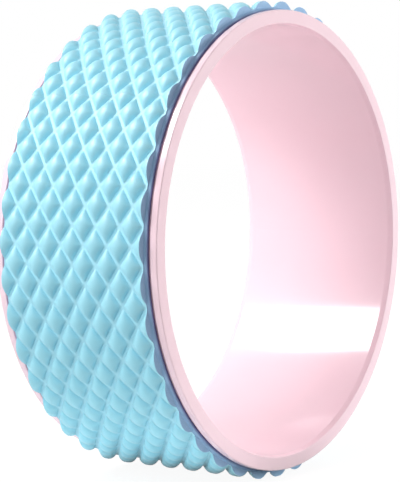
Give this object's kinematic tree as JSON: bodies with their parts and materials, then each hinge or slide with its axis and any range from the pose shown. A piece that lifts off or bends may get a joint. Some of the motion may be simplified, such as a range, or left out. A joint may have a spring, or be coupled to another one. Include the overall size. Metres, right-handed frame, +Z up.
{
  "type": "yoga wheel",
  "caption": "Open hoop of glossy moulded plastic with a quilted foam pad glued round the outside, rolled under the back or gripped by hand in stretching exercises.",
  "frame": {"origin": "middle of the wheel: on its axis, halfway between its two side faces", "axes": "+Y along the wheel's axis, away from the side that the picture shows; +Z up as the wheel stands on its pad, which is pressed flat by 0.5 mm there; the floor is 164.5 mm under the origin"},
  "size_m": [0.33, 0.13, 0.3295],
  "materials": {
    "hoop_plastic": "pale pink, polished moulding",
    "adhesive": "clear film, hidden under the pad",
    "pad_foam": "light blue closed-cell foam, moulded skin, satin"
  },
  "bodies": {
    "root": {"inner_ring": "hoop_plastic", "adhesive_film": "adhesive", "massage_pad": "pad_foam"}
  },
  "joints": []
}
